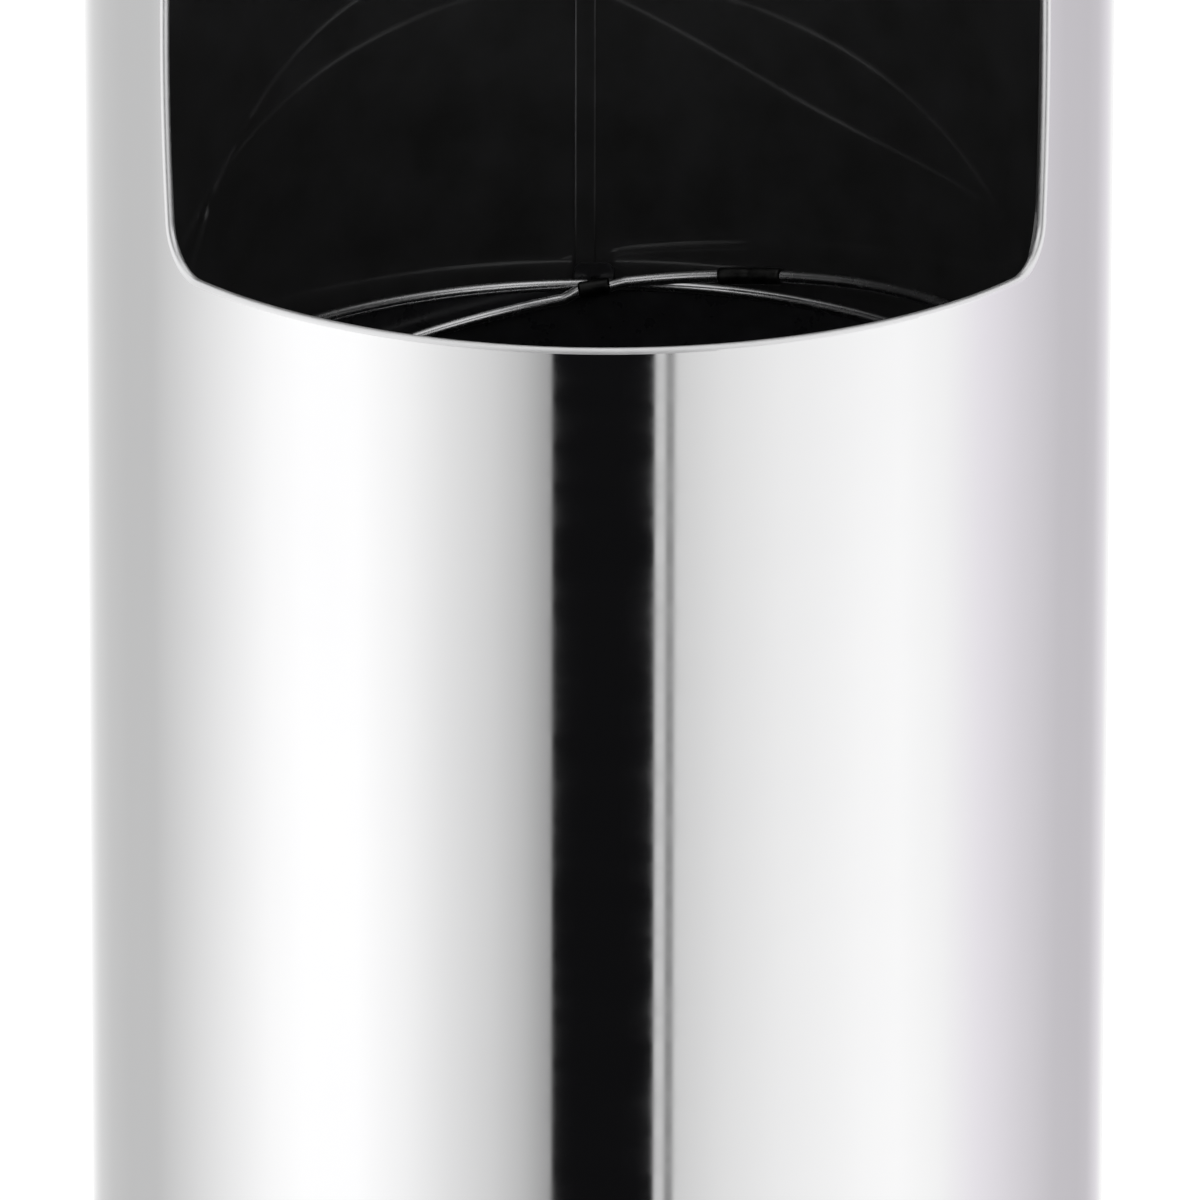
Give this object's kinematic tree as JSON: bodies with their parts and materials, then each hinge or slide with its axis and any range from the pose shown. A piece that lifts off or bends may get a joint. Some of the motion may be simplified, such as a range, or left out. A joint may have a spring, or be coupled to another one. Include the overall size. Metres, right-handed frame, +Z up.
{
  "type": "umbrella stand",
  "caption": "Round mirror-polished umbrella stand with a wide side window, a black liner and a lift-out drip bucket with a wire swing ring.",
  "frame": {"origin": "on the floor, at the axis of the tube", "axes": "+Z up along the tube's axis; -Y is the side with the window; +X is to the right when facing the window"},
  "size_m": [0.254, 0.254, 0.6],
  "materials": {
    "polished_steel": "mirror-polished stainless steel",
    "black_lacquer": "gloss black lacquer on sheet steel",
    "galvanised_steel": "zinc-coated pressed steel",
    "painted_iron": "black painted iron",
    "zinc_fastener": "zinc-plated",
    "base_rubber": "matt black rubber",
    "bucket_enamel": "satin black enamel on sheet steel",
    "bright_wire": "bright plated steel wire",
    "mat_rubber": "matt black ribbed rubber",
    "ear_steel": "blackened steel"
  },
  "bodies": {
    "stand": {"outer_shell": "polished_steel", "top_ring": "polished_steel", "liner": "black_lacquer", "liner_seam_strip": "black_lacquer", "base_plate": "galvanised_steel", "base_collar": "galvanised_steel", "liner_foot_ring": "galvanised_steel", "shell_rivets": "polished_steel", "ballast_disc": "painted_iron", "ballast_screws": "zinc_fastener", "base_ring": "base_rubber", "base_ring_screws": "zinc_fastener"},
    "bucket": {"bucket_wall": "bucket_enamel", "bucket_seam_strip": "bucket_enamel", "bucket_floor": "bucket_enamel", "bucket_rim": "bright_wire", "tip_mat": "mat_rubber", "ear_back": "bucket_enamel", "ear_rivets_back": "bucket_enamel", "ear_front": "bucket_enamel", "ear_rivets_front": "bucket_enamel"},
    "swing_ring": {"swing_ring": "bright_wire", "ring_sleeve": "ear_steel", "ring_trunnions": "ear_steel"}
  },
  "joints": [
    {"name": "bucket_lift", "type": "slide", "parent": "stand", "child": "bucket", "axis": [0, 0, 1], "range_m": [0, 0.62]},
    {"name": "ring_swing", "type": "hinge", "parent": "bucket", "child": "swing_ring", "pos_m": [0, 0, 0.2673], "axis": [0.0113, -0.9999, 0], "continuous": true}
  ]
}
